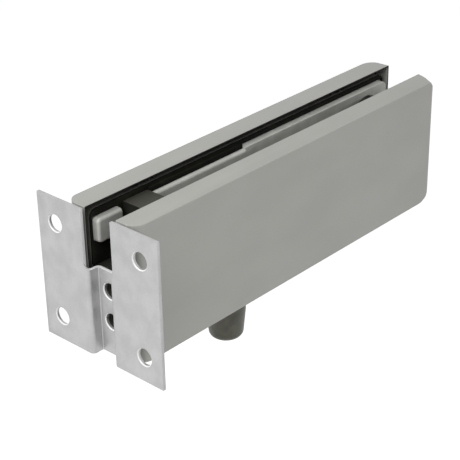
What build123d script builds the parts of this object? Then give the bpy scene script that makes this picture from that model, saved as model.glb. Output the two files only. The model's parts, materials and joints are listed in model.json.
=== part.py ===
from build123d import *
import os

# Glass patch fitting for an over-panel, with its wall bracket.
# Millimetres. X runs from the wall along the glass, Y across its thickness, Z up.
# The origin is the middle of the wall plate's four holes, on the face that meets the wall.

# Wall bracket, folded from one sheet
sheet = 1.2
plate_width = 56.5
plate_height = 55.0
plate_hole_d = 6.2
plate_hole_gap_y = 40.0
plate_hole_gap_z = 36.0
hole_break = 0.35
channel_width = 10.2
channel_depth = 4.6
fold_radius = 0.4
notch_width = 14.0
notch_depth = 22.6
notch_corner = 3.0
web_hole_d = 6.0
web_hole_gap = 11.8
web_hole_below_block = 6.6

# Covers
cover_length = 165.4
cover_height = 51.3
fitting_thickness = 32.8
slot_width = 14.6
cover_wall = 0.6
cover_from_wall = 2.4
cover_below_plate = 0.15
cover_end_radius = 4.6
rear_far_radius = 6.0
cover_top_corner = 3.5
cover_bottom_corner = 5.0
cover_corner_depth = 8.8
cover_end_draft = 0.6
cover_rim_radius = 0.3

# Clamping jaws with their raised lands
jaw_back_gap = 0.3
jaw_edge_gap = 2.3
jaw_corner = 2.8
jaw_back_round = 2.5
face_gap = 15.8
gasket_thickness = 1.0
gasket_pad_rise = 1.1
gasket_pad_below_top = 0.9
land_gap = 10.8
land_height = 9.2
land_from_cover_top = 5.65
land_start_inset = 3.8
land_end_inset = 4.0
land_break_from_wall = 17.2
land_round = 1.3
land_start_corner = 1.8
land_step_x = 79.0
land_step_rise = 0.9
land_step_round = 0.25
land_end_corner = 2.5
jaw_closing = 0.8

# Pivot block and pin
pin_from_wall = 61.0
pin_d = 15.0
pin_tip_d = 12.7
pin_length = 22.0
pin_straight = 10.0
pin_tip_round = 2.6
pin_neck_d = 12.0
pin_neck_length = 0.8
pin_stud_d = 10.0
pin_stud_length = 14.5
block_past_pin = 15.0
block_height = 27.4
block_above_lip = 0.4
block_front_inset = 0.3
web_thread_d = 5.0
web_thread_depth = 18.0
lock_screw_d = 5.0
lock_screw_length = 8.0
lock_screw_height = 7.5
lock_socket = 2.5

# Block screws, from the rear jaw into the pivot block
block_screw_d = 5.0
block_screw_head_d = 8.5
block_screw_head = 2.8
block_screw_reach = 9.0
block_screw_socket = 3.0
block_screw_past_web = 26.0
block_screw_gap = 16.0
block_screw_height = 13.5

# Clamp screws, from the front jaw into steel inserts in the rear jaw
clamp_screw_d = 6.0
clamp_head_d = 10.0
clamp_head = 3.2
clamp_socket = 4.0
clamp_socket_depth = 2.0
clamp_tip_inset = 0.6
washer_d = 11.0
washer_thickness = 0.8
clamp_above_block = 6.2
right_screw_from_end = 17.3
screw_pocket_d = 20.0
insert_d = 9.0
insert_flange_d = 12.0
insert_flange = 1.5

# Stop block and sleeve between the jaws
stop_from_wall = 20.0
stop_width = 11.4
stop_below_cover_top = 4.65
sleeve_d = 12.0

# Guide dowels
dowel_d = 5.0
dowel_height = 9.9
dowel_past_block = 18.0
dowel_gap = 50.0
dowel_wall = 1.0
dowel_front_inset = 2.2

# Cover clips, bowed leaf springs
clip_sheet = 0.4
clip_width = 4.2
clip_foot = 2.0
clip_rise_run = 1.8
clip_crown = 2.4
clip_recess = 1.0
clip_from_end = 30.0

# Clearances
running_gap = 0.05
press_gap = 0.02
free_gap = 0.3
loose_gap = 0.4
clip_gap = 0.1
cut_past = 1.0

# Places worked out from the sizes above
plate_top = plate_height / 2
plate_bottom = -plate_height / 2
channel_half = channel_width / 2
leg_half = channel_half + sheet
web_back = channel_depth + sheet
notch_floor = plate_top - notch_depth

cover_x0 = cover_from_wall
cover_x1 = cover_x0 + cover_length
cover_mid_x = (cover_x0 + cover_x1) / 2
cover_top = plate_top - cover_below_plate
cover_bottom = cover_top - cover_height
cover_mid_z = (cover_top + cover_bottom) / 2
cover_face = fitting_thickness / 2
cover_rim = slot_width / 2

jaw_back = cover_face - cover_wall - jaw_back_gap
gasket_face = face_gap / 2
jaw_face = gasket_face + gasket_thickness
jaw_length = cover_length - 2 * (cover_wall + jaw_edge_gap)
jaw_height = cover_height - 2 * (cover_wall + jaw_edge_gap)
jaw_top = cover_mid_z + jaw_height / 2
jaw_bottom = cover_mid_z - jaw_height / 2
land_face = land_gap / 2
land_top = cover_top - land_from_cover_top
land_bottom = land_top - land_height
land_x0 = cover_x0 + land_start_inset
land_x1 = cover_x1 - land_end_inset
rail_x0 = stop_from_wall + stop_width + free_gap

block_x1 = pin_from_wall + block_past_pin
block_bottom = cover_bottom + block_above_lip
block_top = block_bottom + block_height
block_front = leg_half - block_front_inset
web_hole_z = block_top - web_hole_below_block

clamp_z = block_top + clamp_above_block
left_screw_x = stop_from_wall + stop_width / 2
right_screw_x = cover_x1 - right_screw_from_end
screw_xs = [left_screw_x, right_screw_x]
head_sink = clamp_head + washer_thickness + clip_gap
head_seat = jaw_back - head_sink
stop_top = cover_top - stop_below_cover_top
dowel_z = cover_bottom + dowel_height
dowel_xs = [block_x1 + dowel_past_block, block_x1 + dowel_past_block + dowel_gap]
block_screw_z = cover_bottom + block_screw_height
block_screw_xs = [web_back + block_screw_past_web, web_back + block_screw_past_web + block_screw_gap]
lock_screw_z = block_bottom + lock_screw_height
clip_xs = [cover_x0 + clip_from_end, cover_x1 - clip_from_end]
clip_half = clip_crown / 2 + clip_rise_run + clip_foot


def front_plane(depth):
    """Plane facing the front, at y = -depth."""
    return Plane.XZ.offset(depth)


def cover_form(inset, rim, plan_radius, bottom_corner, top_corner):
    """Solid of a cover's outline, inset all round, from its face back to y = -rim.

    plan_radius rounds the far end seen from above, and the two corners round it seen from the front.
    """
    length = cover_length - 2 * inset
    height = cover_height - 2 * inset
    face = cover_face - inset
    near_radius = cover_end_radius - inset
    far_radius = plan_radius - inset
    corner = face - cover_corner_depth
    with BuildPart() as form:
        with BuildSketch(front_plane(face)) as face_outline:
            with Locations((cover_x0 + inset, cover_mid_z)):
                Rectangle(length - cover_end_draft, height, align=(Align.MIN, Align.CENTER))
            wall_end = face_outline.vertices().group_by(Axis.X)[0]
            fillet(wall_end, cover_rim_radius)
            far_bottom = face_outline.vertices().group_by(Axis.X)[-1].sort_by(Axis.Y)[0]
            fillet(far_bottom, max(bottom_corner - inset, cover_rim_radius))
            far_top = face_outline.vertices().group_by(Axis.X)[-1].sort_by(Axis.Y)[-1]
            fillet(far_top, max(top_corner - inset, cover_rim_radius))
        with BuildSketch(front_plane(corner)) as rim_outline:
            with Locations((cover_mid_x, cover_mid_z)):
                RectangleRounded(length, height, cover_rim_radius)
        loft()
        extrude(rim_outline.sketch, amount=rim - corner)
        # Round the two upright edges at the face, in plan
        with BuildSketch(Plane.XY.offset(cover_mid_z - height / 2 - cut_past)):
            with Locations((cover_mid_x - length / 2 - cut_past, -face - cut_past)):
                Rectangle(near_radius + cut_past, near_radius + cut_past, align=Align.MIN)
            with Locations((cover_mid_x + length / 2 + cut_past, -face - cut_past)):
                Rectangle(far_radius + cut_past, far_radius + cut_past, align=(Align.MAX, Align.MIN))
            with Locations((cover_mid_x - length / 2 + near_radius, near_radius - face)):
                Circle(near_radius, mode=Mode.SUBTRACT)
            with Locations((cover_mid_x + length / 2 - far_radius, far_radius - face)):
                Circle(far_radius, mode=Mode.SUBTRACT)
        extrude(amount=height + 2 * cut_past, mode=Mode.SUBTRACT)
    return form.part


def jaw_outline(inset):
    """Elevation outline of a jaw, drawn on the current sketch plane."""
    with Locations((cover_mid_x, cover_mid_z)):
        RectangleRounded(jaw_length - 2 * inset, jaw_height - 2 * inset, jaw_corner - inset)


def holes_at(xs, z, diameter, near, far):
    """Round bars along Y from y = -near to y = -far, used as cutting tools."""
    with BuildPart() as bars:
        with BuildSketch(front_plane(far)):
            with Locations(*[(x, z) for x in xs]):
                Circle(diameter / 2)
        extrude(amount=near - far)
    return bars.part


def clip_set():
    """Two upper and two lower leaf springs in the front jaw's edge recesses."""
    crown = cover_top - cover_wall - clip_gap
    floor = jaw_top - clip_recess
    with BuildPart() as clips:
        for x in clip_xs:
            with BuildSketch(front_plane((jaw_back + jaw_face - clip_width) / 2)):
                with BuildLine():
                    Polyline(
                        (x - clip_half, floor),
                        (x - clip_half + clip_foot, floor),
                        (x - clip_crown / 2, crown - clip_sheet),
                        (x + clip_crown / 2, crown - clip_sheet),
                        (x + clip_half - clip_foot, floor),
                        (x + clip_half, floor),
                    )
                    offset(amount=clip_sheet, side=Side.LEFT)
                make_face()
            extrude(amount=clip_width)
        mirror(about=Plane.XY.offset(cover_mid_z))
    return clips.part


# Notch for the glass, a cutting tool whose lower corners are round across the folds
with BuildPart() as notch:
    with BuildSketch(Plane.YZ):
        with Locations((0, notch_floor)):
            Rectangle(notch_width, notch_depth + cut_past, align=(Align.CENTER, Align.MIN))
    extrude(amount=web_back)
    for side in (-1, 1):
        across_fold = Plane(
            origin=(0, side * notch_width / 2, notch_floor),
            x_dir=(1, -side, 0),
            z_dir=(-side, -1, 0),
        )
        with BuildSketch(across_fold):
            with BuildLine():
                Line((0, 0), (0, notch_corner))
                CenterArc((notch_corner, notch_corner), notch_corner, 180, 90)
                Line((notch_corner, 0), (0, 0))
            make_face()
        extrude(amount=web_back, both=True, mode=Mode.SUBTRACT)

# Wall bracket: two flanges, two legs and a web, notched at the top
with BuildPart() as wall_bracket:
    with BuildSketch(Plane.XY.offset(plate_bottom)) as fold:
        with BuildLine():
            Polyline(
                (0, -plate_width / 2),
                (0, -channel_half),
                (channel_depth, -channel_half),
                (channel_depth, channel_half),
                (0, channel_half),
                (0, plate_width / 2),
                (sheet, plate_width / 2),
                (sheet, leg_half),
                (web_back, leg_half),
                (web_back, -leg_half),
                (sheet, -leg_half),
                (sheet, -plate_width / 2),
                close=True,
            )
        make_face()
        # Inner side of the folds first, then the outer side
        columns = fold.vertices().group_by(Axis.X)
        fillet(columns[1].sort_by(Axis.Y)[1:-1] + columns[2], fold_radius)
        flange_folds = fold.vertices().group_by(Axis.X)[0].sort_by(Axis.Y)[1:-1]
        fillet(flange_folds, fold_radius + sheet)
        web_folds = fold.vertices().group_by(Axis.X)[-1]
        fillet(web_folds, fold_radius + sheet)
    extrude(amount=plate_height)
    add(notch.part, mode=Mode.SUBTRACT)
    with BuildSketch(Plane.YZ):
        with GridLocations(plate_hole_gap_y, plate_hole_gap_z, 2, 2):
            Circle(plate_hole_d / 2)
    extrude(amount=sheet, mode=Mode.SUBTRACT)
    with BuildSketch(Plane.YZ.offset(channel_depth)):
        with Locations((0, web_hole_z), (0, web_hole_z - web_hole_gap)):
            Circle(web_hole_d / 2)
    extrude(amount=sheet, mode=Mode.SUBTRACT)
    hole_radii = (plate_hole_d / 2, web_hole_d / 2)
    rings = wall_bracket.edges().filter_by(GeomType.CIRCLE).filter_by(lambda e: e.radius in hole_radii)
    front_rings = [e for e in rings if e.center().X in (0, channel_depth)]
    chamfer(front_rings, hole_break)
wall_bracket.part.label = "wall_bracket"

# Covers: pressed shells that clip over the jaws
front_ends = (cover_end_radius, cover_bottom_corner, cover_top_corner)
with BuildPart() as front_cover:
    add(cover_form(0, cover_rim, *front_ends))
    add(cover_form(cover_wall, cover_rim - cut_past, *front_ends), mode=Mode.SUBTRACT)
front_cover.part.label = "front_cover"

rear_ends = (rear_far_radius, cover_bottom_corner, cover_rim_radius)
with BuildPart() as rear_cover:
    add(cover_form(0, cover_rim, *rear_ends))
    add(cover_form(cover_wall, cover_rim - cut_past, *rear_ends), mode=Mode.SUBTRACT)
    rear_cover_front = rear_cover.part
    mirror(rear_cover_front, about=Plane.XZ, mode=Mode.REPLACE)
rear_cover.part.label = "rear_cover"

# Front jaw's blank: plate and lands, mirrored for the rear jaw
with BuildPart() as land:
    with BuildSketch(front_plane(land_face)) as low_lands:
        with Locations((land_x0, land_bottom)):
            Rectangle(land_break_from_wall - land_x0, land_height, align=Align.MIN)
        fillet(low_lands.vertices().group_by(Axis.X)[0], land_start_corner)
        with Locations((rail_x0, land_bottom)):
            Rectangle(land_step_x - rail_x0, land_height, align=Align.MIN)
    extrude(amount=jaw_face - land_face)
    near_edges = land.edges().group_by(Axis.Y)[-1]
    square_ends = near_edges.filter_by(Axis.Z).sort_by(Axis.X)[1:]
    fillet([edge for edge in near_edges if edge not in square_ends], land_round)
    with BuildSketch(front_plane(land_face)) as raised:
        with Locations((land_step_x, land_bottom)):
            Rectangle(land_x1 - land_step_x, land_height + land_step_rise, align=Align.MIN)
        fillet(raised.vertices().sort_by(Axis.X)[-2:], land_end_corner)
    extrude(amount=jaw_face - land_face)
    top_edge = land.edges().filter_by(Axis.X).group_by(Axis.Z)[-1].sort_by(Axis.Y)[-1]
    fillet(top_edge, land_step_round)
    add(holes_at([right_screw_x], clamp_z, screw_pocket_d, jaw_face, land_face), mode=Mode.SUBTRACT)

with BuildPart() as jaw_blank:
    with BuildSketch(front_plane(jaw_face)):
        jaw_outline(0)
    extrude(amount=jaw_back - jaw_face)
    fillet(jaw_blank.faces().sort_by(Axis.Y)[0].edges(), jaw_back_round)
    add(land.part)
    with BuildSketch(front_plane((jaw_back + jaw_face - clip_width) / 2 - running_gap)):
        with Locations(*[(x, z) for x in clip_xs for z in (jaw_top, jaw_bottom)]):
            Rectangle(2 * (clip_half + running_gap), 2 * clip_recess)
    extrude(amount=clip_width + 2 * running_gap, mode=Mode.SUBTRACT)

with BuildPart() as front_jaw:
    add(jaw_blank.part)
    clearance_d = clamp_screw_d + 2 * free_gap
    add(holes_at(screw_xs, clamp_z, clearance_d, jaw_back, land_face), mode=Mode.SUBTRACT)
    add(holes_at(screw_xs, clamp_z, washer_d + 2 * free_gap, jaw_back, head_seat), mode=Mode.SUBTRACT)
    add(holes_at(dowel_xs, dowel_z, dowel_d + 2 * free_gap, jaw_back, jaw_face), mode=Mode.SUBTRACT)
front_jaw.part.label = "front_jaw"

with BuildPart() as rear_jaw:
    add(jaw_blank.part)
    bore_d = insert_d + 2 * press_gap
    add(holes_at(screw_xs, clamp_z, bore_d, jaw_back, land_face), mode=Mode.SUBTRACT)
    flange_seat = jaw_back - insert_flange
    flange_hole_d = insert_flange_d + 2 * press_gap
    add(holes_at(screw_xs, clamp_z, flange_hole_d, jaw_back, flange_seat), mode=Mode.SUBTRACT)
    dowel_hole_d = dowel_d + 2 * press_gap
    add(holes_at(dowel_xs, dowel_z, dowel_hole_d, jaw_back - dowel_wall, jaw_face), mode=Mode.SUBTRACT)
    block_hole_d = block_screw_d + 2 * free_gap
    add(holes_at(block_screw_xs, block_screw_z, block_hole_d, jaw_back, jaw_face), mode=Mode.SUBTRACT)
    block_seat = jaw_back - block_screw_head
    block_head_hole_d = block_screw_head_d + 2 * free_gap
    add(holes_at(block_screw_xs, block_screw_z, block_head_hole_d, jaw_back, block_seat), mode=Mode.SUBTRACT)
    rear_jaw_front = rear_jaw.part
    mirror(rear_jaw_front, about=Plane.XZ, mode=Mode.REPLACE)
rear_jaw.part.label = "rear_jaw"

# Gaskets: sheet rubber round the lands, down to the top of the pivot block
with BuildPart() as front_gasket:
    with BuildSketch(front_plane(gasket_face)):
        jaw_outline(running_gap)
        with Locations((cover_mid_x, block_top + free_gap)):
            Rectangle(cover_length, cover_height, align=(Align.CENTER, Align.MAX), mode=Mode.SUBTRACT)
        with Locations((land_x0 - free_gap, land_bottom - free_gap)):
            Rectangle(
                land_break_from_wall - land_x0 + 2 * free_gap,
                land_height + 2 * free_gap,
                align=Align.MIN,
                mode=Mode.SUBTRACT,
            )
        with Locations((rail_x0 - free_gap, land_bottom - free_gap)):
            Rectangle(
                land_x1 - rail_x0 + 2 * free_gap,
                land_height + land_step_rise + 2 * free_gap,
                align=Align.MIN,
                mode=Mode.SUBTRACT,
            )
        with Locations((left_screw_x, clamp_z)):
            Circle(clamp_screw_d / 2 + loose_gap, mode=Mode.SUBTRACT)
        with Locations((right_screw_x, clamp_z)):
            Circle(screw_pocket_d / 2, mode=Mode.SUBTRACT)
    extrude(amount=gasket_thickness)
    # Thicker pad over the long land, up to its step
    pad_bottom = land_top + running_gap
    pad_height = jaw_top - gasket_pad_below_top - pad_bottom
    with BuildSketch(front_plane(gasket_face - gasket_pad_rise)):
        with Locations((rail_x0, pad_bottom)):
            Rectangle(land_step_x - running_gap - rail_x0, pad_height, align=Align.MIN)
    extrude(amount=gasket_thickness + gasket_pad_rise)
front_gasket.part.label = "front_gasket"

with BuildPart() as rear_gasket:
    mirror(front_gasket.part, about=Plane.XZ)
rear_gasket.part.label = "rear_gasket"

# Pivot block: stepped bar behind the web, against the rear jaw
with BuildPart() as pivot_block:
    with BuildSketch(Plane.YZ.offset(web_back)):
        with BuildLine():
            Polyline(
                (-block_front, block_bottom),
                (block_front, block_bottom),
                (block_front, jaw_bottom),
                (jaw_face, jaw_bottom),
                (jaw_face, block_top),
                (-block_front, block_top),
                close=True,
            )
        make_face()
    extrude(amount=block_x1 - web_back)
    with BuildSketch(Plane.YZ.offset(web_back)):
        with Locations((0, web_hole_z), (0, web_hole_z - web_hole_gap)):
            Circle(web_thread_d / 2)
    extrude(amount=web_thread_depth, mode=Mode.SUBTRACT)
    with BuildSketch(Plane.XY.offset(block_bottom)):
        with Locations((pin_from_wall, 0)):
            Circle(pin_stud_d / 2 + press_gap)
    extrude(amount=pin_stud_length + free_gap, mode=Mode.SUBTRACT)
    with BuildSketch(Plane.YZ.offset(pin_from_wall)):
        with Locations((0, lock_screw_z)):
            Circle(lock_screw_d / 2 + press_gap)
    extrude(amount=block_past_pin, mode=Mode.SUBTRACT)
    tapped_d = block_screw_d + 2 * press_gap
    tapped_end = jaw_face - block_screw_reach - free_gap
    add(
        mirror(
            holes_at(block_screw_xs, block_screw_z, tapped_d, jaw_face, tapped_end),
            about=Plane.XZ,
            mode=Mode.PRIVATE,
        ),
        mode=Mode.SUBTRACT,
    )
pivot_block.part.label = "pivot_block"

# Pivot pin: turned, with a neck against the block and a threaded stud
pin_top = block_bottom - pin_neck_length
pin_end = cover_bottom - pin_length
with BuildPart() as pivot_pin:
    with BuildSketch(Plane.XZ):
        with BuildLine():
            Polyline(
                (0, block_bottom + pin_stud_length),
                (pin_stud_d / 2, block_bottom + pin_stud_length),
                (pin_stud_d / 2, block_bottom),
                (pin_neck_d / 2, block_bottom),
                (pin_neck_d / 2, pin_top),
                (pin_d / 2, pin_top),
                (pin_d / 2, pin_top - pin_straight),
                (pin_tip_d / 2, pin_end),
                (0, pin_end),
                close=True,
            )
        make_face()
    revolve(axis=Axis.Z)
    fillet(pivot_pin.edges().group_by(Axis.Z)[0], pin_tip_round)
pivot_pin.part.position = (pin_from_wall, 0, 0)
pivot_pin.part.label = "pivot_pin"

with BuildPart() as pin_lock_screw:
    with BuildSketch(Plane.YZ.offset(pin_from_wall + pin_stud_d / 2 + press_gap)):
        with Locations((0, lock_screw_z)):
            Circle(lock_screw_d / 2)
    extrude(amount=lock_screw_length)
    with BuildSketch(pin_lock_screw.faces().sort_by(Axis.X)[-1]):
        RegularPolygon(lock_socket / 2, 6, major_radius=False)
    extrude(amount=-lock_socket, mode=Mode.SUBTRACT)
pin_lock_screw.part.label = "pin_lock_screw"

# Block screws: two, heads sunk in the rear jaw's back
with BuildPart() as block_screws:
    with BuildSketch(front_plane(-(jaw_back - block_screw_head))):
        with Locations(*[(x, block_screw_z) for x in block_screw_xs]):
            Circle(block_screw_head_d / 2)
    extrude(amount=-block_screw_head)
    with BuildSketch(front_plane(-(jaw_face - block_screw_reach))):
        with Locations(*[(x, block_screw_z) for x in block_screw_xs]):
            Circle(block_screw_d / 2)
    extrude(amount=-(jaw_back - block_screw_head - jaw_face + block_screw_reach))
    with BuildSketch(front_plane(-jaw_back)):
        with Locations(*[(x, block_screw_z) for x in block_screw_xs]):
            RegularPolygon(block_screw_socket / 2, 6, major_radius=False)
    extrude(amount=block_screw_head / 2, mode=Mode.SUBTRACT)
block_screws.part.label = "block_screws"


def clamp_screw(x):
    """Socket screw along Y, head towards the front."""
    tip = jaw_back - clamp_tip_inset
    head_under = head_seat + washer_thickness
    with BuildPart() as screw:
        with BuildSketch(front_plane(head_under)):
            with Locations((x, clamp_z)):
                Circle(clamp_head_d / 2)
        extrude(amount=clamp_head)
        with BuildSketch(front_plane(head_under)):
            with Locations((x, clamp_z)):
                Circle(clamp_screw_d / 2)
        extrude(amount=-(head_under + tip))
        with BuildSketch(front_plane(head_under + clamp_head)):
            with Locations((x, clamp_z)):
                RegularPolygon(clamp_socket / 2, 6, major_radius=False)
        extrude(amount=-clamp_socket_depth, mode=Mode.SUBTRACT)
    return screw.part


with BuildPart() as left_clamp_screw:
    add(clamp_screw(left_screw_x))
left_clamp_screw.part.label = "left_clamp_screw"

with BuildPart() as right_clamp_screw:
    add(clamp_screw(right_screw_x))
right_clamp_screw.part.label = "right_clamp_screw"

with BuildPart() as clamp_washers:
    add(holes_at(screw_xs, clamp_z, washer_d, head_seat + washer_thickness, head_seat))
    add(holes_at(screw_xs, clamp_z, clamp_screw_d + 2 * free_gap, jaw_back, head_seat), mode=Mode.SUBTRACT)
clamp_washers.part.label = "clamp_washers"

with BuildPart() as clamp_inserts:
    flange_front = -(jaw_back - insert_flange)
    add(holes_at(screw_xs, clamp_z, insert_flange_d, flange_front, -jaw_back))
    add(holes_at(screw_xs, clamp_z, insert_d, -jaw_face, flange_front))
    bore = clamp_screw_d + 2 * running_gap
    add(holes_at(screw_xs, clamp_z, bore, -jaw_face, -jaw_back), mode=Mode.SUBTRACT)
clamp_inserts.part.label = "clamp_inserts"

# Stop block: between the lands, with the left clamp screw through it
stop_front = gasket_face - jaw_closing - free_gap
with BuildPart() as stop_block:
    with BuildSketch(Plane.YZ.offset(stop_from_wall)):
        with Locations((gasket_face, block_top)):
            Rectangle(gasket_face + stop_front, stop_top - block_top, align=(Align.MAX, Align.MIN))
    extrude(amount=stop_width)
    stop_hole_d = clamp_screw_d + 2 * loose_gap
    add(holes_at([left_screw_x], clamp_z, stop_hole_d, stop_front, -gasket_face), mode=Mode.SUBTRACT)
stop_block.part.label = "stop_block"

# Sleeve: spacer tube round the right clamp screw, seated on the rear jaw
sleeve_front = jaw_face - jaw_closing - free_gap
with BuildPart() as screw_sleeve:
    add(holes_at([right_screw_x], clamp_z, sleeve_d, sleeve_front, -jaw_face))
    sleeve_bore = clamp_screw_d + 2 * loose_gap
    add(holes_at([right_screw_x], clamp_z, sleeve_bore, sleeve_front, -jaw_face), mode=Mode.SUBTRACT)
screw_sleeve.part.label = "screw_sleeve"

with BuildPart() as guide_dowels:
    dowel_front = jaw_back - dowel_front_inset
    add(holes_at(dowel_xs, dowel_z, dowel_d, dowel_front, -(jaw_back - dowel_wall)))
guide_dowels.part.label = "guide_dowels"

with BuildPart() as front_cover_clips:
    add(clip_set())
front_cover_clips.part.label = "front_cover_clips"

with BuildPart() as rear_cover_clips:
    mirror(front_cover_clips.part, about=Plane.XZ)
rear_cover_clips.part.label = "rear_cover_clips"

pieces = [
    wall_bracket,
    front_cover,
    rear_cover,
    front_jaw,
    rear_jaw,
    front_gasket,
    rear_gasket,
    pivot_block,
    pivot_pin,
    pin_lock_screw,
    block_screws,
    left_clamp_screw,
    right_clamp_screw,
    clamp_washers,
    clamp_inserts,
    stop_block,
    screw_sleeve,
    guide_dowels,
    front_cover_clips,
    rear_cover_clips,
]
os.makedirs("parts", exist_ok=True)
for piece in pieces:
    export_step(piece.part, f"parts/{piece.part.label}.step")
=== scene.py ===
import json
import math

import bmesh
import bpy
from mathutils import Matrix, Vector


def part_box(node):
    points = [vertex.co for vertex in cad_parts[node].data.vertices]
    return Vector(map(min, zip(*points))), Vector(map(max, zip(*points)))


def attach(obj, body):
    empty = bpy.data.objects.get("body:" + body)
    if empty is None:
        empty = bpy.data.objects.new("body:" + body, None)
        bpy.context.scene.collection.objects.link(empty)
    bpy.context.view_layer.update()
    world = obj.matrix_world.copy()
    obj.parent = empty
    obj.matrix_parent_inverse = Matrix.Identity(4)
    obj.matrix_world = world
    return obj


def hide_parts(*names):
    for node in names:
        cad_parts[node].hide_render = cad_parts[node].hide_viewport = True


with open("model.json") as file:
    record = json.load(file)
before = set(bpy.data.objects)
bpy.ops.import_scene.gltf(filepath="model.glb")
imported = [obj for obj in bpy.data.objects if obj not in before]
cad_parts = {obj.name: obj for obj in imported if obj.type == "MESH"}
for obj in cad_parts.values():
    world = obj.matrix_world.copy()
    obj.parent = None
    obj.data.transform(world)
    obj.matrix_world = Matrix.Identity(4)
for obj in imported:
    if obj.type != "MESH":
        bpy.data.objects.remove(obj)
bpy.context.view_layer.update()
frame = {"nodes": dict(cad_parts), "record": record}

MM = 0.001

# Camera at the photograph's viewing angle
CAMERA_PLACE = Vector((-0.26408, -0.30277, 0.23188))
CAMERA_RIGHT = Vector((0.6719, -0.7405, -0.0158))
CAMERA_UP = Vector((0.3547, 0.3029, 0.8846))
CAMERA_FORWARD = Vector((0.6502, 0.6000, -0.4661))
CAMERA_LENS = 109.51
SENSOR_WIDTH = 36.0
CLIP_START = 0.01

# Studio: floor, even light, and two soft lamps with their sizes and their powers in watts
FLOOR_Z = -0.26
FLOOR_REACH = 4.0
FLOOR_GLOW = 0.64
AMBIENT = 0.36
LAMP_AIM = Vector((0.08, 0.0, 0.0))
KEY_PLACE = Vector((-0.35, -0.05, 0.45))
KEY_SIZE = 0.5
KEY_POWER = 2.85
FRONT_PLACE = Vector((0.40, -0.90, -0.12))
FRONT_SIZE = 0.45
FRONT_POWER = 0.4

# Covers
COVER_WALL = 0.6 * MM
COVER_PLAN_RADIUS = 4.6 * MM
COVER_TOP_CORNER = 3.2 * MM
COVER_BOTTOM_CORNER = 4.2 * MM
CORNER_STEPS = 6

# Where the jaws' lands end, from the middle of the slot to just short of a jaw's face; beyond it the jaws
# are painted darker as shade
LANDS_END = 8.8 * MM

# Wall bracket's notch, its web and its holes
NOTCH_HALF = 7.0 * MM
NOTCH_FLOOR = 4.9 * MM
WEB_BACK_X = 5.8 * MM
WEB_HOLES_Z = (-2.75 * MM, -14.55 * MM)
WEB_HOLE_R = 3.0 * MM
PLATE = next(mount["dims"] for mount in frame["record"]["mounts"] if mount["name"] == "wall_plate")
PLATE_HOLE_Y = PLATE["spacing_x_mm"] / 2 * MM
PLATE_HOLE_Z = PLATE["spacing_y_mm"] / 2 * MM
PLATE_HOLE_R = PLATE["hole_r_mm"] * MM
HOLE_BREAK = 0.35 * MM

# Knurl on the clamp screws' heads
KNURL_RIDGES = 48
KNURL_LENGTH = 2.4 * MM
KNURL_SETBACK = 0.4 * MM
RIDGE_R = 0.16 * MM
RIDGE_SIDES = 4

# Tapped threads behind the web's holes
THREAD_R = 2.5 * MM
THREAD_PITCH = 0.8 * MM
THREAD_DEPTH = 16.0 * MM
THREAD_SETBACK = 0.4 * MM
THREAD_CREST_R = 0.3 * MM
THREAD_SIDES = 3
TURN_STEPS = 40

# Widths of the eased edges
BRACKET_EASE = 0.1 * MM
COVER_EASE = 0.12 * MM
GASKET_EASE = 0.15 * MM
PIN_EASE = 0.2 * MM
JAW_EASE = 0.25 * MM
BLOCK_EASE = 0.3 * MM

# Easing: what counts as one point or one flat, and the angles past which edges are eased or stay sharp
WELD = 0.001 * MM
FLAT = math.radians(0.6)
CREASE = math.radians(34)
SMOOTH = math.radians(40)

# Telling one flat of a solid from another, by shares of its normal and by margins of place
FACING = 0.9
TILTED = 0.4
LEVEL = 0.1
NEAR = 0.2 * MM
RIM_NEAR = 0.05 * MM

# Tints of the greys
NEUTRAL = (1.0, 1.0, 1.0)
WARM = (1.0, 1.0, 0.935)
SHADE = (1.0, 0.99, 0.78)


class Value:
    """A shader socket that takes part in sums written as Python expressions."""

    def __init__(self, finish, socket):
        self.finish = finish
        self.socket = socket

    def _math(self, operation, a, b):
        return self.finish.node("Math", {"operation": operation}, {0: a, 1: b})

    def __add__(self, other):
        return self._math("ADD", self, other)

    def __radd__(self, other):
        return self._math("ADD", other, self)

    def __mul__(self, other):
        return self._math("MULTIPLY", self, other)

    def __rmul__(self, other):
        return self._math("MULTIPLY", other, self)

    def or_more(self, other):
        """The larger of this and another value."""
        return self._math("MAXIMUM", self, other)


def grey(level, tint=NEUTRAL):
    """Opaque colour of one level, lightly tinted."""
    return (level * tint[0], level * tint[1], level * tint[2], 1.0)


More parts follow.
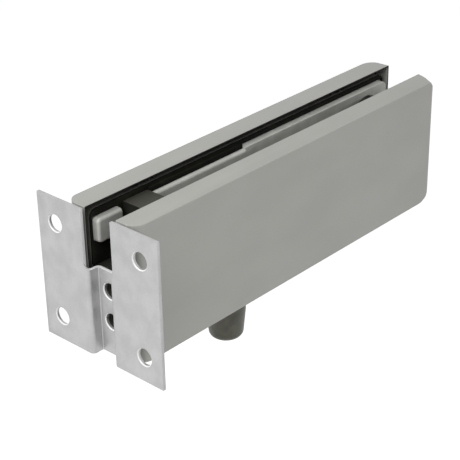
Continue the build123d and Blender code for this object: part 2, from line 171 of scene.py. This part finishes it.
class Finish:
    """One material or world, built node by node."""

    def __init__(self, block):
        block.use_nodes = True
        self.block = block
        self.tree = block.node_tree
        self.tree.nodes.clear()

    def node(self, kind, settings=None, sockets=None, out=None):
        """A node's named output, or its first. Its settings are set before its sockets."""
        node = self.tree.nodes.new("ShaderNode" + kind)
        for name, value in (settings or {}).items():
            setattr(node, name, value)
        for name, value in (sockets or {}).items():
            if isinstance(name, int):
                socket = node.inputs[name]
            else:
                socket = next(s for s in node.inputs if s.name == name and s.enabled)
            if isinstance(value, Value):
                self.tree.links.new(value.socket, socket)
            else:
                socket.default_value = value
        shown = [s for s in node.outputs if s.enabled and out in (None, s.name)]
        return Value(self, shown[0]) if shown else None

    def noise(self, size, detail=2.0, stretch=(1, 1, 1)):
        """Noise from 0 to 1 whose blotches are about that size, in metres, on Object coordinates."""
        here = self.node("TexCoord", out="Object")
        place = self.node("Mapping", None, {"Vector": here, "Scale": stretch})
        sockets = {"Vector": place, "Scale": 1 / size, "Detail": detail}
        return self.node("TexNoise", None, sockets, out="Fac")

    def tones(self, share, first, second, tint=NEUTRAL):
        """Grey from the first level to the second as share goes from 0 to 1."""
        sockets = {"Factor": share, "A": grey(first, tint), "B": grey(second, tint)}
        return self.node("Mix", {"data_type": "RGBA"}, sockets, out="Result")

    def ramp(self, value, low, high):
        """0 below low, 1 above high, smooth between."""
        settings = {"interpolation_type": "SMOOTHSTEP"}
        return self.node("MapRange", settings, {"Value": value, "From Min": low, "From Max": high})

    def bump(self, height, depth):
        """Surface normal for a height from 0 to 1 that stands for depth, in metres."""
        return self.node("Bump", None, {"Height": height, "Distance": depth, "Strength": 1.0})

    def surface(self, **sockets):
        """Principled surface straight into the material's output."""
        named = {name.replace("_", " "): value for name, value in sockets.items()}
        shader = self.node("BsdfPrincipled", None, named)
        self.node("OutputMaterial", None, {"Surface": shader})

    def seen_rays(self):
        """1 for rays that show the background: to the camera, by gloss, or through glass."""
        camera = self.node("LightPath", out="Is Camera Ray")
        glossy = self.node("LightPath", out="Is Glossy Ray")
        through = self.node("LightPath", out="Is Transmission Ray")
        return camera.or_more(glossy).or_more(through)


def sheet_steel():
    """Wall bracket: cold-rolled sheet, matt, with soft clouds and small scuffs."""
    finish = Finish(bpy.data.materials.new("sheet_steel"))
    clouds = finish.noise(7 * MM, 3.0)
    specks = finish.noise(0.7 * MM)
    share = finish.ramp(clouds * 0.75 + specks * 0.25, 0.3, 0.7)
    finish.surface(
        Base_Color=finish.tones(share, 0.47, 0.56),
        Metallic=0.5,
        Roughness=0.36 + clouds * 0.14,
        Normal=finish.bump(specks, 0.02 * MM),
    )
    return finish.block


def sheared_steel_painted_highlight():
    """Wall bracket's cut edges: bare metal, faintly scored across, brightened to near white as a painted
    highlight.
    """
    finish = Finish(bpy.data.materials.new("sheared_steel_painted_highlight"))
    score = finish.noise(0.25 * MM, stretch=(0.3, 1.0, 1.0))
    finish.surface(
        Base_Color=finish.tones(score, 0.90, 0.98),
        Roughness=0.3 + score * 0.15,
        Normal=finish.bump(score, 0.01 * MM),
    )
    return finish.block


def satin_aluminium():
    """Covers: anodised, with a fine blasted grain and a faint long cloudiness."""
    finish = Finish(bpy.data.materials.new("satin_aluminium"))
    grain = finish.noise(0.25 * MM)
    drift = finish.noise(14 * MM, stretch=(0.5, 1.0, 1.0))
    share = finish.ramp(drift * 0.8 + grain * 0.2, 0.25, 0.75)
    finish.surface(
        Base_Color=finish.tones(share, 0.415, 0.445, WARM),
        Metallic=0.3,
        Roughness=0.5 + grain * 0.1,
        Normal=finish.bump(grain, 0.008 * MM),
    )
    return finish.block


def painted_shade_lining():
    """Covers' insides and slot rims: nearly black, painted shade for the dark recess inside the covers."""
    finish = Finish(bpy.data.materials.new("painted_shade_lining"))
    grain = finish.noise(0.4 * MM)
    patches = finish.noise(8 * MM, 3.0)
    finish.surface(
        Base_Color=finish.tones(patches, 0.018, 0.028, SHADE),
        Roughness=0.6 + grain * 0.2,
        Specular_IOR_Level=0.12,
        Normal=finish.bump(grain, 0.02 * MM),
    )
    return finish.block


def cast_aluminium():
    """Jaws' lands: die-cast, machined satin, a little uneven."""
    finish = Finish(bpy.data.materials.new("cast_aluminium"))
    grain = finish.noise(0.5 * MM, 3.0)
    patches = finish.noise(5 * MM)
    finish.surface(
        Base_Color=finish.tones(finish.ramp(patches, 0.3, 0.7), 0.54, 0.62, WARM),
        Metallic=0.25,
        Roughness=0.5 + patches * 0.12,
        Normal=finish.bump(grain, 0.03 * MM),
    )
    return finish.block


def painted_shade_casting():
    """Jaws away from their machined lands: a darker copy of the cast aluminium, as painted shade for the
    recess behind the gaskets.
    """
    finish = Finish(bpy.data.materials.new("painted_shade_casting"))
    grain = finish.noise(0.5 * MM, 3.0)
    patches = finish.noise(4 * MM)
    finish.surface(
        Base_Color=finish.tones(finish.ramp(patches, 0.3, 0.7), 0.20, 0.26, WARM),
        Roughness=0.6 + grain * 0.15,
        Specular_IOR_Level=0.25,
        Normal=finish.bump(grain, 0.03 * MM),
    )
    return finish.block


def black_rubber():
    """Gaskets: dull black sheet rubber."""
    finish = Finish(bpy.data.materials.new("black_rubber"))
    grain = finish.noise(0.35 * MM)
    dust = finish.noise(6 * MM, 3.0)
    finish.surface(
        Base_Color=finish.tones(finish.ramp(dust, 0.35, 0.75), 0.012, 0.022, SHADE),
        Roughness=0.72 + grain * 0.15,
        Specular_IOR_Level=0.06,
        Normal=finish.bump(grain, 0.02 * MM),
    )
    return finish.block


def blackened_block():
    """Pivot block: black finish over machined metal."""
    finish = Finish(bpy.data.materials.new("blackened_block"))
    marks = finish.noise(0.4 * MM, stretch=(0.15, 1.0, 1.0))
    wear = finish.noise(5 * MM, 3.0)
    finish.surface(
        Base_Color=finish.tones(finish.ramp(wear, 0.4, 0.8), 0.018, 0.028, SHADE),
        Roughness=0.5 + marks * 0.2,
        Specular_IOR_Level=0.3,
        Normal=finish.bump(marks, 0.01 * MM),
    )
    return finish.block


def moulded_plastic():
    """Stop block and sleeve: dark grey, lightly grained by the mould."""
    finish = Finish(bpy.data.materials.new("moulded_plastic"))
    grain = finish.noise(0.3 * MM, 1.0)
    tone = finish.noise(5 * MM)
    finish.surface(
        Base_Color=finish.tones(tone, 0.048, 0.058, SHADE),
        Roughness=0.5 + grain * 0.15,
        Specular_IOR_Level=0.35,
        Normal=finish.bump(grain, 0.015 * MM),
    )
    return finish.block


def turned_steel():
    """Pin and dowels: fine rings left by the tool."""
    finish = Finish(bpy.data.materials.new("turned_steel"))
    rings = finish.noise(0.5 * MM, 1.0, (0.04, 0.04, 2.0))
    patches = finish.noise(4 * MM, 3.0)
    finish.surface(
        Base_Color=finish.tones(finish.ramp(patches, 0.3, 0.7), 0.10, 0.14, SHADE),
        Roughness=0.34 + patches * 0.12,
        Specular_IOR_Level=0.25,
        Normal=finish.bump(rings, 0.01 * MM),
    )
    return finish.block


def black_oxide():
    """Screws, washers and inserts: blackened steel."""
    finish = Finish(bpy.data.materials.new("black_oxide"))
    tone = finish.noise(2 * MM, 3.0)
    grain = finish.noise(0.3 * MM, 1.0)
    finish.surface(
        Base_Color=finish.tones(finish.ramp(tone, 0.35, 0.7), 0.05, 0.09, WARM),
        Metallic=0.8,
        Roughness=0.34 + tone * 0.16,
        Normal=finish.bump(grain, 0.01 * MM),
    )
    return finish.block


def spring_steel():
    """Clips: bright rolled strip."""
    finish = Finish(bpy.data.materials.new("spring_steel"))
    lines = finish.noise(0.3 * MM, 1.0, (0.1, 1.0, 1.0))
    finish.surface(
        Base_Color=finish.tones(lines, 0.42, 0.52),
        Metallic=1.0,
        Roughness=0.25 + lines * 0.15,
        Normal=finish.bump(lines, 0.006 * MM),
    )
    return finish.block


def stage_white():
    """Floor: pale, keeps the shadow, and shows white to the camera and in reflections."""
    finish = Finish(bpy.data.materials.new("stage_white"))
    finish.surface(
        Base_Color=grey(0.9),
        Roughness=0.9,
        Specular_IOR_Level=0.0,
        Emission_Color=finish.tones(finish.seen_rays(), 0.0, FLOOR_GLOW),
        Emission_Strength=1.0,
    )
    return finish.block


def build_world():
    """White where it is seen, an even soft light elsewhere."""
    finish = Finish(bpy.data.worlds.new("studio"))
    strength = AMBIENT + (1.0 - AMBIENT) * finish.seen_rays()
    background = finish.node("Background", None, {"Color": grey(1.0), "Strength": strength})
    finish.node("OutputWorld", None, {"Surface": background})
    bpy.context.scene.world = finish.block


def in_scene(name, data):
    """A new object in the scene with that mesh, lamp or camera."""
    thing = bpy.data.objects.new(name, data)
    bpy.context.scene.collection.objects.link(thing)
    return thing


def build_camera():
    """Camera at the photograph's place, with its axes as measured."""
    data = bpy.data.cameras.new("camera")
    data.sensor_fit = "HORIZONTAL"
    data.sensor_width = SENSOR_WIDTH
    data.lens = CAMERA_LENS
    data.clip_start = CLIP_START
    camera = in_scene("camera", data)
    turn = Matrix((CAMERA_RIGHT, CAMERA_UP, -CAMERA_FORWARD)).transposed().normalized()
    camera.matrix_world = Matrix.Translation(CAMERA_PLACE) @ turn.to_4x4()
    bpy.context.scene.camera = camera


def area_lamp(name, place, size, power):
    """Square soft lamp at a place, facing the object."""
    data = bpy.data.lights.new(name, "AREA")
    data.shape = "SQUARE"
    data.size = size
    data.energy = power
    lamp = in_scene(name, data)
    turn = (LAMP_AIM - place).to_track_quat("-Z", "Y").to_matrix().to_4x4()
    lamp.matrix_world = Matrix.Translation(place) @ turn


def build_floor():
    """Square floor under the object."""
    mesh = bpy.data.meshes.new("floor")
    square = ((-1, -1), (1, -1), (1, 1), (-1, 1))
    corners = [(x * FLOOR_REACH, y * FLOOR_REACH, FLOOR_Z) for x, y in square]
    mesh.from_pydata(corners, [], [(0, 1, 2, 3)])
    mesh.materials.append(stage_white())
    floor = in_scene("floor", mesh)


def paint(nodes, skin):
    """Give CAD nodes a finish."""
    for name in nodes:
        mesh = frame["nodes"][name].data
        mesh.materials.clear()
        mesh.materials.append(skin)


def evaluated(piece):
    """The piece's mesh with its modifiers applied, and the modifiers removed."""
    bpy.context.view_layer.update()
    graph = bpy.context.evaluated_depsgraph_get()
    mesh = bpy.data.meshes.new_from_object(piece.evaluated_get(graph))
    piece.modifiers.clear()
    piece.data = mesh
    return mesh


def softened(node, body, slot, skins, width, segments=2, part_of=None, reshape=None):
    """A solid's own shape with its edges eased, shown in place of the CAD node.

    part_of gives each flat of the shape its place in the list of skins.
    reshape changes the eased shape.
    """
    shape = bmesh.new()
    shape.from_mesh(frame["nodes"][node].data)
    bmesh.ops.remove_doubles(shape, verts=shape.verts, dist=WELD)
    bmesh.ops.dissolve_limit(shape, angle_limit=FLAT, verts=shape.verts, edges=shape.edges)
    if part_of:
        for face in shape.faces:
            face.material_index = part_of(face.calc_center_median(), face.normal)
    mesh = bpy.data.meshes.new(node + "_eased")
    shape.to_mesh(mesh)
    shape.free()
    for skin in skins:
        mesh.materials.append(skin)
    piece = in_scene(node + "_eased", mesh)
    ease = piece.modifiers.new("ease", "BEVEL")
    ease.width = width
    ease.segments = segments
    ease.limit_method = "ANGLE"
    ease.angle_limit = CREASE
    ease.use_clamp_overlap = True
    mesh = evaluated(piece)
    if reshape:
        shape = bmesh.new()
        shape.from_mesh(mesh)
        reshape(shape)
        shape.to_mesh(mesh)
        shape.free()
    mesh.shade_smooth()
    mesh.set_sharp_from_angle(angle=SMOOTH)
    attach(piece, body)
    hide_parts(node)


def round_corner(shape, radius, up):
    """Round the front cover's far corner as it shows along the diagonal of its plan.

    up is 1 for the upper corner and -1 for the lower. The corner is cut into strips, and then
    each point moves in to a cylinder whose radius is less by the point's depth in the cover.
    """
    low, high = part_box("front_cover")
    edge_z = high[2] if up > 0 else low[2]
    outward = Vector((1, -1, 0)).normalized()
    upward = Vector((0, 0, up))
    plan_centre = Vector((high[0] - COVER_PLAN_RADIUS, low[1] + COVER_PLAN_RADIUS, edge_z))
    axis = plan_centre + outward * (COVER_PLAN_RADIUS - radius) - upward * radius
    for step in range(CORNER_STEPS):
        past = radius * math.tan(math.pi / 4 * step / CORNER_STEPS)
        for normal in (outward, upward):
            whole = shape.verts[:] + shape.edges[:] + shape.faces[:]
            cut = {"plane_co": axis + normal * past, "plane_no": normal, "dist": WELD}
            bmesh.ops.bisect_plane(shape, geom=whole, **cut)
    for vertex in shape.verts:
        across = (vertex.co - axis).dot(outward)
        above = (vertex.co - axis).dot(upward)
        if across <= 0 or above <= 0:
            continue
        beside = vertex.co.xy - plan_centre.xy
        if beside.x > 0 and beside.y < 0:
            plan_depth = COVER_PLAN_RADIUS - beside.length
        else:
            plan_depth = min(high[0] - vertex.co.x, vertex.co.y - low[1])
        depth = max(min(plan_depth, radius - above), 0.0)
        pull = 1 - (radius - depth) / math.hypot(across, above)
        if pull > 0:
            vertex.co -= (outward * across + upward * above) * pull


def round_far_corners(shape):
    """Round both far corners of the front cover."""
    round_corner(shape, COVER_TOP_CORNER, 1)
    round_corner(shape, COVER_BOTTOM_CORNER, -1)


def cover_part(node):
    """Tells a cover's bright skin, 0, from its inside and slot rim, 1, which are painted dark as shade. The
    far end is bright inside too.
    """
    low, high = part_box(node)
    middle = (Vector(low) + Vector(high)) / 2
    outward = 1 if middle.y > 0 else -1
    rim = min(abs(low[1]), abs(high[1]))
    face = max(abs(low[1]), abs(high[1]))

    def part(place, normal):
        if normal.y * outward < -FACING and abs(place.y) < rim + RIM_NEAR:
            return 1
        from_outside = min(
            place.x - low[0],
            high[0] - place.x,
            place.z - low[2],
            high[2] - place.z,
            face - abs(place.y),
        )
        faces_inward = (middle - place).dot(normal) > 0
        far_end = normal.x < -FACING and place.x > middle.x
        return 1 if faces_inward and not far_end and from_outside >= COVER_WALL / 2 else 0

    return part


def jaw_part(place, normal):
    """Tells a jaw's machined lands, 0, from the rest of its casting, 1, which is painted darker as shade.
    """
    return 1 if abs(place.y) > LANDS_END else 0


def stop_painted_shade_part(place, normal):
    """Tells the stop block's moulded faces, 0, from its wall-side face, 1, which takes the black rubber as
    painted shade.
    """
    return 1 if normal.x < -FACING else 0


def bracket_part(place, normal):
    """Tells the bracket's rolled faces, 0, from its sheared notch and hole rims, 1, which carry bare metal
    with a painted highlight.
    """
    in_notch = abs(place.y) < NOTCH_HALF + NEAR and place.z > NOTCH_FLOOR - NEAR
    upright_cut = abs(normal.y) > FACING and abs(place.y) > NOTCH_HALF - NEAR
    if in_notch and (abs(normal.z) > LEVEL or upright_cut):
        return 1
    to_plate_hole = math.hypot(abs(place.y) - PLATE_HOLE_Y, abs(place.z) - PLATE_HOLE_Z)
    to_web_hole = min(math.hypot(place.y, place.z - z) for z in WEB_HOLES_Z)
    from_rim = min(abs(to_plate_hole - PLATE_HOLE_R), abs(to_web_hole - WEB_HOLE_R))
    return 1 if from_rim < HOLE_BREAK and TILTED < abs(normal.x) < FACING else 0


class Pattern:
    """A Geometry Nodes group that repeats one small feature, built node by node."""

    def __init__(self, name):
        self.tree = bpy.data.node_groups.new(name, "GeometryNodeTree")
        interface = self.tree.interface
        interface.new_socket("Geometry", in_out="OUTPUT", socket_type="NodeSocketGeometry")
        self.source = self.tree.nodes.new("NodeGroupInput")

    def given(self, name, kind):
        """A named input of the group."""
        self.tree.interface.new_socket(name, in_out="INPUT", socket_type="NodeSocket" + kind)
        return self.source.outputs[name]

    def node(self, kind, settings=None, sockets=None):
        """A node's first output. Its settings are set before its sockets."""
        node = self.tree.nodes.new(kind)
        for name, value in (settings or {}).items():
            setattr(node, name, value)
        for name, value in (sockets or {}).items():
            if isinstance(value, bpy.types.NodeSocket):
                self.tree.links.new(value, node.inputs[name])
            else:
                node.inputs[name].default_value = value
        return node.outputs[0]

    def swept(self, line, sides, radius):
        """A closed bar along a line, with a profile of that many sides."""
        sockets = {"Resolution": sides, "Radius": radius}
        profile = self.node("GeometryNodeCurvePrimitiveCircle", None, sockets)
        sockets = {"Curve": line, "Profile Curve": profile, "Fill Caps": True}
        return self.node("GeometryNodeCurveToMesh", None, sockets)

    def close(self, shape, skin):
        """Make the repeated shape real, give it its skin and end the group."""
        real = self.node("GeometryNodeRealizeInstances", None, {"Geometry": shape})
        painted = self.node("GeometryNodeSetMaterial", None, {"Geometry": real, "Material": skin})
        self.tree.links.new(painted, self.tree.nodes.new("NodeGroupOutput").inputs[0])

    def piece(self, name, body, slot, **values):
        """One mesh made by the group with these values, riding on a body."""
        piece = in_scene(name, bpy.data.meshes.new(name))
        modifier = piece.modifiers.new("pattern", "NODES")
        modifier.node_group = self.tree
        for item in self.tree.interface.items_tree:
            if item.in_out == "INPUT":
                modifier[item.identifier] = values[item.name]
        evaluated(piece)
        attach(piece, body)


def knurl_pattern():
    """Fine straight ridges round a screw's head, whose axis runs along Y."""
    group = Pattern("knurl")
    ridges = group.given("ridges", "Int")
    radius = group.given("radius", "Float")
    length = group.given("length", "Float")
    place = group.given("place", "Vector")
    skin = group.given("skin", "Material")
    top = group.node("ShaderNodeCombineXYZ", None, {"Z": length})
    spine = group.node("GeometryNodeCurvePrimitiveLine", None, {"End": top})
    ridge = group.swept(spine, RIDGE_SIDES, RIDGE_R)
    ring = group.node("GeometryNodeMeshCircle", None, {"Vertices": ridges, "Radius": radius})
    outward = group.node("GeometryNodeInputPosition")
    facing = group.node("FunctionNodeAlignRotationToVector", {"axis": "X"}, {"Vector": outward})
    sockets = {"Points": ring, "Instance": ridge, "Rotation": facing}
    row = group.node("GeometryNodeInstanceOnPoints", None, sockets)
    sockets = {"Geometry": row, "Translation": place, "Rotation": (math.pi / 2, 0, 0)}
    group.close(group.node("GeometryNodeTransform", None, sockets), skin)
    return group


def thread_pattern():
    """Tapped threads along X, one above the other."""
    group = Pattern("thread")
    turns = group.given("turns", "Float")
    radius = group.given("radius", "Float")
    length = group.given("length", "Float")
    count = group.given("count", "Int")
    start = group.given("start", "Vector")
    step = group.given("step", "Vector")
    skin = group.given("skin", "Material")
    sockets = {
        "Resolution": TURN_STEPS,
        "Rotations": turns,
        "Start Radius": radius,
        "End Radius": radius,
        "Height": length,
    }
    helix = group.node("GeometryNodeCurveSpiral", None, sockets)
    thread = group.swept(helix, THREAD_SIDES, THREAD_CREST_R)
    sockets = {"Count": count, "Start Location": start, "Offset": step}
    places = group.node("GeometryNodeMeshLine", None, sockets)
    sockets = {"Points": places, "Instance": thread, "Rotation": (0, math.pi / 2, 0)}
    group.close(group.node("GeometryNodeInstanceOnPoints", None, sockets), skin)
    return group


def head_knurl(group, side, skin):
    """Knurl on the head of the left or right clamp screw."""
    low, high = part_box(side + "_clamp_screw")
    middle_x = (low[0] + high[0]) / 2
    middle_z = (low[2] + high[2]) / 2
    group.piece(
        side + "_screw_knurl",
        side + "_screw",
        "screw_steel",
        ridges=KNURL_RIDGES,
        radius=(high[0] - low[0]) / 2,
        length=KNURL_LENGTH,
        place=(middle_x, low[1] + KNURL_LENGTH + KNURL_SETBACK, middle_z),
        skin=skin,
    )


def web_threads(group, skin):
    """Tapped threads in the pivot block, seen through the web's holes."""
    upper_z, lower_z = WEB_HOLES_Z
    group.piece(
        "web_hole_threads",
        "body",
        "block_black",
        turns=THREAD_DEPTH / THREAD_PITCH,
        radius=THREAD_R,
        length=THREAD_DEPTH,
        count=len(WEB_HOLES_Z),
        start=(WEB_BACK_X + THREAD_SETBACK, 0.0, upper_z),
        step=(0.0, 0.0, lower_z - upper_z),
        skin=skin,
    )


bpy.context.scene.view_settings.view_transform = "Standard"
build_camera()
build_world()
build_floor()
area_lamp("key_lamp", KEY_PLACE, KEY_SIZE, KEY_POWER)
area_lamp("front_lamp", FRONT_PLACE, FRONT_SIZE, FRONT_POWER)

# Bracket
# The second skin gives the bracket's cut edges and hole rims bare metal with a painted highlight
bracket_skins = [sheet_steel(), sheared_steel_painted_highlight()]
softened("wall_bracket", "body", "bracket_sheet", bracket_skins, BRACKET_EASE, part_of=bracket_part)

# Covers
# Covers: satin aluminium outside, with insides and slot rims painted near black as shade
cover_look = ("cover_aluminium", [satin_aluminium(), painted_shade_lining()], COVER_EASE)
front_part = cover_part("front_cover")
rear_part = cover_part("rear_cover")
softened("front_cover", "front_shell", *cover_look, part_of=front_part, reshape=round_far_corners)
softened("rear_cover", "rear_shell", *cover_look, part_of=rear_part)

# Clamp
# Jaws: cast aluminium on the lands, the rest of the casting painted darker as shade
jaw_look = ("jaw_aluminium", [cast_aluminium(), painted_shade_casting()], JAW_EASE)
softened("front_jaw", "front_clamp", *jaw_look, part_of=jaw_part)
softened("rear_jaw", "body", *jaw_look, part_of=jaw_part)
rubber = black_rubber()
softened("front_gasket", "front_clamp", "gasket_rubber", [rubber], GASKET_EASE)
softened("rear_gasket", "body", "gasket_rubber", [rubber], GASKET_EASE)

# Pivot, stop and sleeve
block_black = blackened_block()
softened("pivot_block", "body", "block_black", [block_black], BLOCK_EASE)
plastic = moulded_plastic()
# The stop block's wall-side face is painted black as shade
softened("stop_block", "body", "dark_plastic", [plastic, rubber], BLOCK_EASE, 3, part_of=stop_painted_shade_part)
turned = turned_steel()
softened("pivot_pin", "body", "pin_steel", [turned], PIN_EASE, 3)
paint(["screw_sleeve"], plastic)
paint(["guide_dowels"], turned)

# Screws and clips
black_steel = black_oxide()
paint(["pin_lock_screw", "block_screws", "left_clamp_screw", "right_clamp_screw"], black_steel)
paint(["clamp_washers", "clamp_inserts"], black_steel)
paint(["front_cover_clips", "rear_cover_clips"], spring_steel())

# Knurls and threads
knurl = knurl_pattern()
for screw_side in ("left", "right"):
    head_knurl(knurl, screw_side, black_steel)
web_threads(thread_pattern(), block_black)
